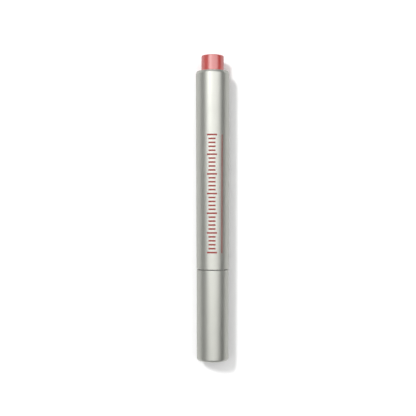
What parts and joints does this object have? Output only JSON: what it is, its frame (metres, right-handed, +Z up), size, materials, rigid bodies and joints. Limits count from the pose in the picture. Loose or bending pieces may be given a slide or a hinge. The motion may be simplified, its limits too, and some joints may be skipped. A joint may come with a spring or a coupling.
{
  "type": "click pen applicator with brush",
  "caption": "Capped click pen that feeds nail strengthener: a push button turns a ratchet and screw, whose piston pushes the liquid to a brush under the pull-off cap.",
  "frame": {"origin": "on the surface that the pen lies on, under the middle of its length", "axes": "+Y along the pen's axis from the closed end of the cap to the button, +Z up"},
  "size_m": [0.0142, 0.13, 0.0143],
  "materials": {
    "satin_aluminium": "satin anodised",
    "coral_plastic": "semi-gloss moulded",
    "white_plastic": "moulded polypropylene",
    "grey_plastic": "moulded acetal",
    "blue_plastic": "moulded acetal",
    "natural_plastic": "natural polypropylene",
    "white_foam": "soft polyethylene foam",
    "black_rubber": "moulded nitrile",
    "bright_steel": "bright drawn stainless",
    "black_nylon": "tapered bristle"
  },
  "bodies": {
    "barrel": {"barrel_shell": "satin_aluminium", "reservoir": "natural_plastic", "nozzle": "white_plastic", "nozzle_oring": "black_rubber", "brush_ferrule": "bright_steel", "feed_tube": "bright_steel", "brush_bristles": "black_nylon", "drive_nut": "grey_plastic", "fixed_cam": "blue_plastic", "mechanism_sleeve": "white_plastic", "spring_seat": "grey_plastic", "return_spring": "bright_steel", "rear_bush": "grey_plastic"},
    "cap": {"cap_shell": "satin_aluminium", "cap_liner": "white_plastic", "cap_seal": "white_foam"},
    "button": {"button_cap": "coral_plastic", "button_stem": "white_plastic"},
    "rotor": {"drive_sleeve": "grey_plastic"},
    "rod": {"screw_rod": "white_plastic"},
    "piston": {"piston": "white_plastic"}
  },
  "joints": [
    {"name": "cap_pull", "type": "slide", "parent": "barrel", "child": "cap", "axis": [0, -1, 0], "range_m": [0, 0.045]},
    {"name": "button_press", "type": "slide", "parent": "barrel", "child": "button", "axis": [0, -1, 0], "range_m": [0, 0.0025], "stiffness_N_per_m": 600, "springref_m": -0.002, "deforming": ["return_spring"]},
    {"name": "rotor_turn", "type": "hinge", "parent": "barrel", "child": "rotor", "pos_m": [0, 0, 0.00713], "axis": [0, -1, 0], "range_deg": [0, 3900]},
    {"name": "rod_feed", "type": "slide", "parent": "rotor", "child": "rod", "axis": [0, -1, 0], "range_m": [0, 0.0325]},
    {"name": "piston_feed", "type": "slide", "parent": "barrel", "child": "piston", "axis": [0, -1, 0], "range_m": [0, 0.0325]}
  ],
  "couplings": [
    {"joint": "rod_feed", "follows": "piston_feed", "ratio": 1},
    {"joint": "rotor_turn", "follows": "piston_feed", "rad_per_m": 2094.4}
  ]
}
